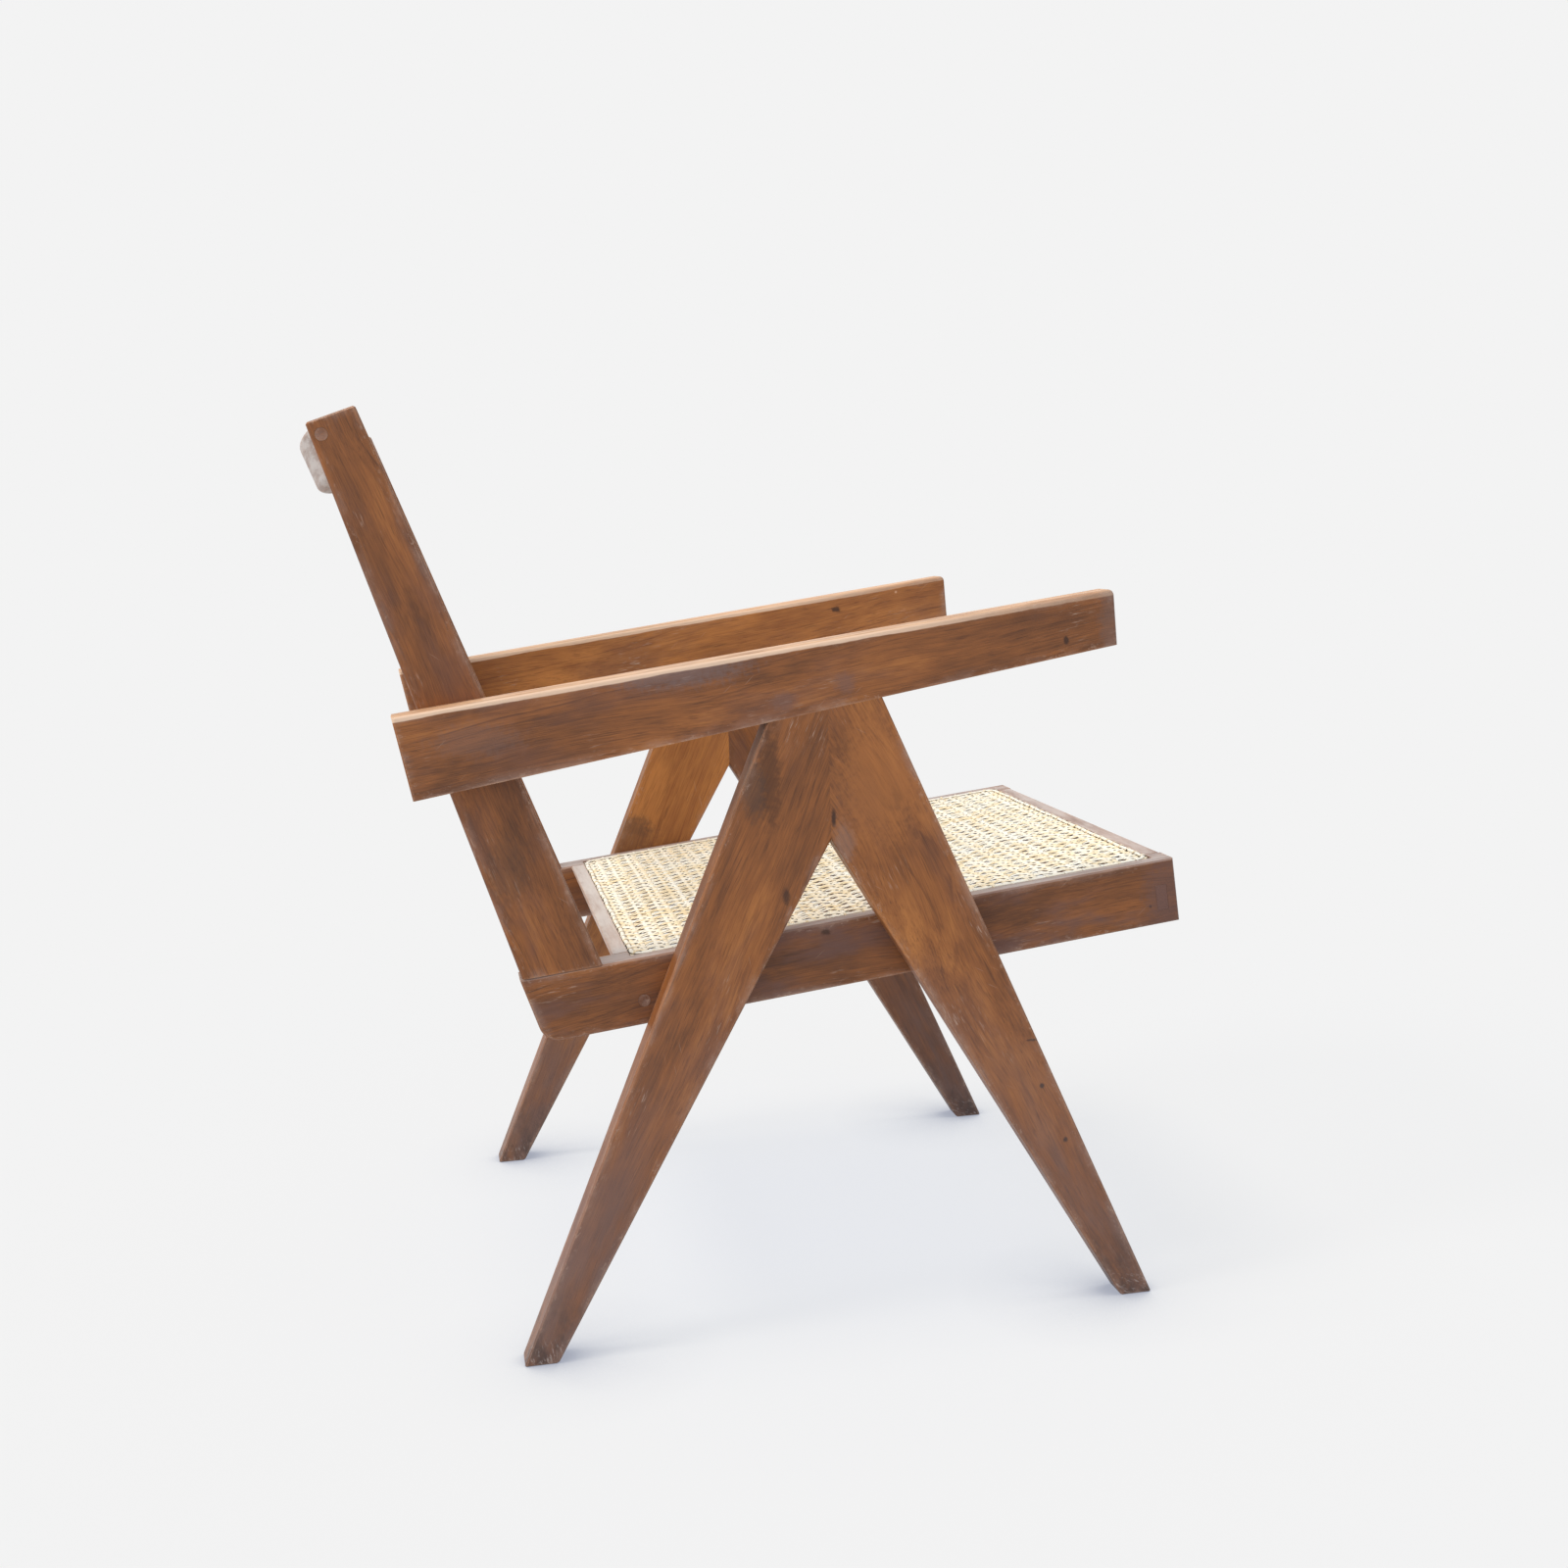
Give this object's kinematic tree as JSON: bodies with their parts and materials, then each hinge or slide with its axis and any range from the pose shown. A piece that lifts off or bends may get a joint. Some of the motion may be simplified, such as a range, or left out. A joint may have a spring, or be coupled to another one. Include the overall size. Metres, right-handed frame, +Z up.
{
  "type": "easy chair",
  "caption": "Low teak easy chair with inverted-V legs, sloping plank armrests, leaning back posts and woven cane seat and back.",
  "frame": {"origin": "on the floor, midway along the chair's overall width and depth", "axes": "+Z up, the chair faces -Y, +X is the sitter's left"},
  "size_m": [0.52, 0.7273, 0.7796],
  "materials": {
    "teak": "worn oiled satin",
    "pegs": "oiled satin end grain",
    "cane": "natural split cane, woven",
    "binder": "natural split cane strip",
    "screws": "plain"
  },
  "bodies": {
    "root": {"right_armrest": "teak", "left_armrest": "teak", "right_front_leg": "teak", "left_front_leg": "teak", "right_rear_leg": "teak", "left_rear_leg": "teak", "right_seat_side_rail": "teak", "left_seat_side_rail": "teak", "right_back_post": "teak", "left_back_post": "teak", "front_seat_rail": "teak", "rear_seat_rail": "teak", "crest_rail": "teak", "lower_back_rail": "teak", "arm_to_leg_tenons": "pegs", "leg_seam_splines": "pegs", "crest_rail_pegs": "pegs", "rear_rail_pegs": "pegs", "seat_cane": "cane", "back_cane": "cane", "seat_cane_binder": "binder", "back_cane_binder": "binder", "leg_to_rail_screws": "screws", "arm_to_post_screws": "screws"}
  },
  "joints": []
}
